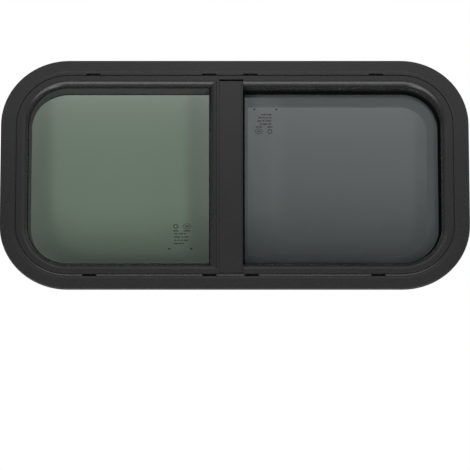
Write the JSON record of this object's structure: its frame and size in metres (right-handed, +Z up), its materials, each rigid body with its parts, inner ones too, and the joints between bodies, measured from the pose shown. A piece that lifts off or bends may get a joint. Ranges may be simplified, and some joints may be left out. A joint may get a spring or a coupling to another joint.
{
  "type": "caravan sliding window",
  "caption": "Black aluminium caravan window with round corners, a fixed pane, a sliding pane, a mullion and an inner fly screen.",
  "frame": {"origin": "middle of the bottom edge of the flange's back, on the wall skin, half way across the flange's lap", "axes": "+X to the right seen from outdoors, +Y from outdoors into the room, +Z up"},
  "size_m": [0.93, 0.0545, 0.48],
  "materials": {
    "black_frame": "fine textured satin powder coat, black",
    "clamp_ring": "fine textured satin powder coat, black",
    "green_glass": "toughened, green-grey tint",
    "grey_glass": "toughened, blue-grey tint",
    "rubber": "matt dark grey extruded rubber",
    "pile": "black woven pile",
    "foam": "closed-cell foam tape, dark grey",
    "black_plastic": "fine grained moulded plastic, black",
    "strike_steel": "brushed",
    "screen_bar": "satin coat, light grey",
    "screen_mesh": "woven fly mesh, grey"
  },
  "bodies": {
    "root": {"outer_frame": "black_frame", "wall_seal": "foam", "clamp_ring": "clamp_ring", "fixed_glass": "green_glass", "fixed_glass_gasket": "rubber", "fixed_glass_wedge": "rubber", "mullion_post": "black_frame", "mullion_cover": "black_frame", "mullion_seal": "pile", "sliding_glass": "grey_glass", "sash_stile": "black_frame", "sash_guide_top": "black_plastic", "sash_guide_bottom": "black_plastic", "sash_felt": "pile", "sash_runner_top": "black_plastic", "sash_runner_bottom": "black_plastic", "jamb_channel": "rubber", "latch_housing": "black_plastic", "latch_lever": "black_plastic", "latch_keeper": "strike_steel", "screen_frame": "screen_bar", "screen_stile": "screen_bar", "screen_mesh": "screen_mesh", "screen_spline": "rubber", "screen_pull": "black_plastic"}
  },
  "joints": []
}
